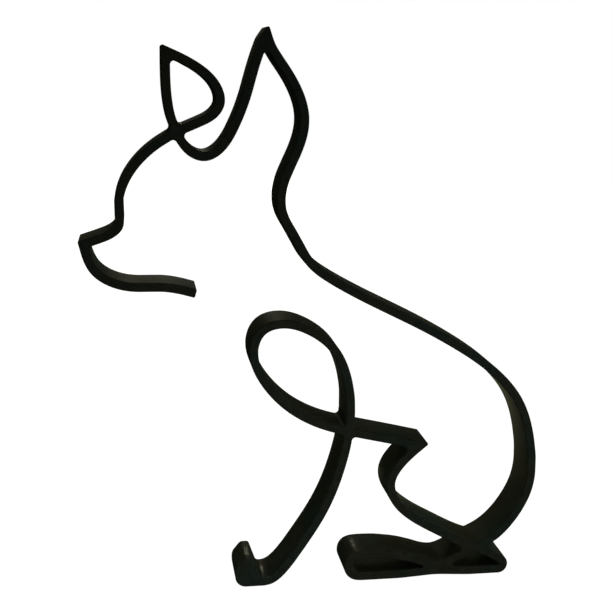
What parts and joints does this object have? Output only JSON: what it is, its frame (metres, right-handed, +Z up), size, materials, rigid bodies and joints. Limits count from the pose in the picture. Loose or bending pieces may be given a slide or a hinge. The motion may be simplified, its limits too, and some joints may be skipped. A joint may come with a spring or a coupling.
{
  "type": "geometric dog sculpture",
  "caption": "Tabletop line sculpture of a sitting dog seen from the side, drawn by one flat black ribbon that crosses itself; it stands on its front paw and long hind foot",
  "frame": {"origin": "at the middle of the object's bounding box in X and Y, on the floor that it stands on", "axes": "+Z up; the dog sits side on and faces -X, with its back and heel at +X; Y is the depth of the ribbon, and the object is the same on both sides of the plane y = 0"},
  "size_m": [0.156, 0.017, 0.19],
  "materials": {
    "satin_black": "satin near-black, smooth, as moulded or printed"
  },
  "bodies": {
    "root": {"dog_outline": "satin_black"}
  },
  "joints": []
}
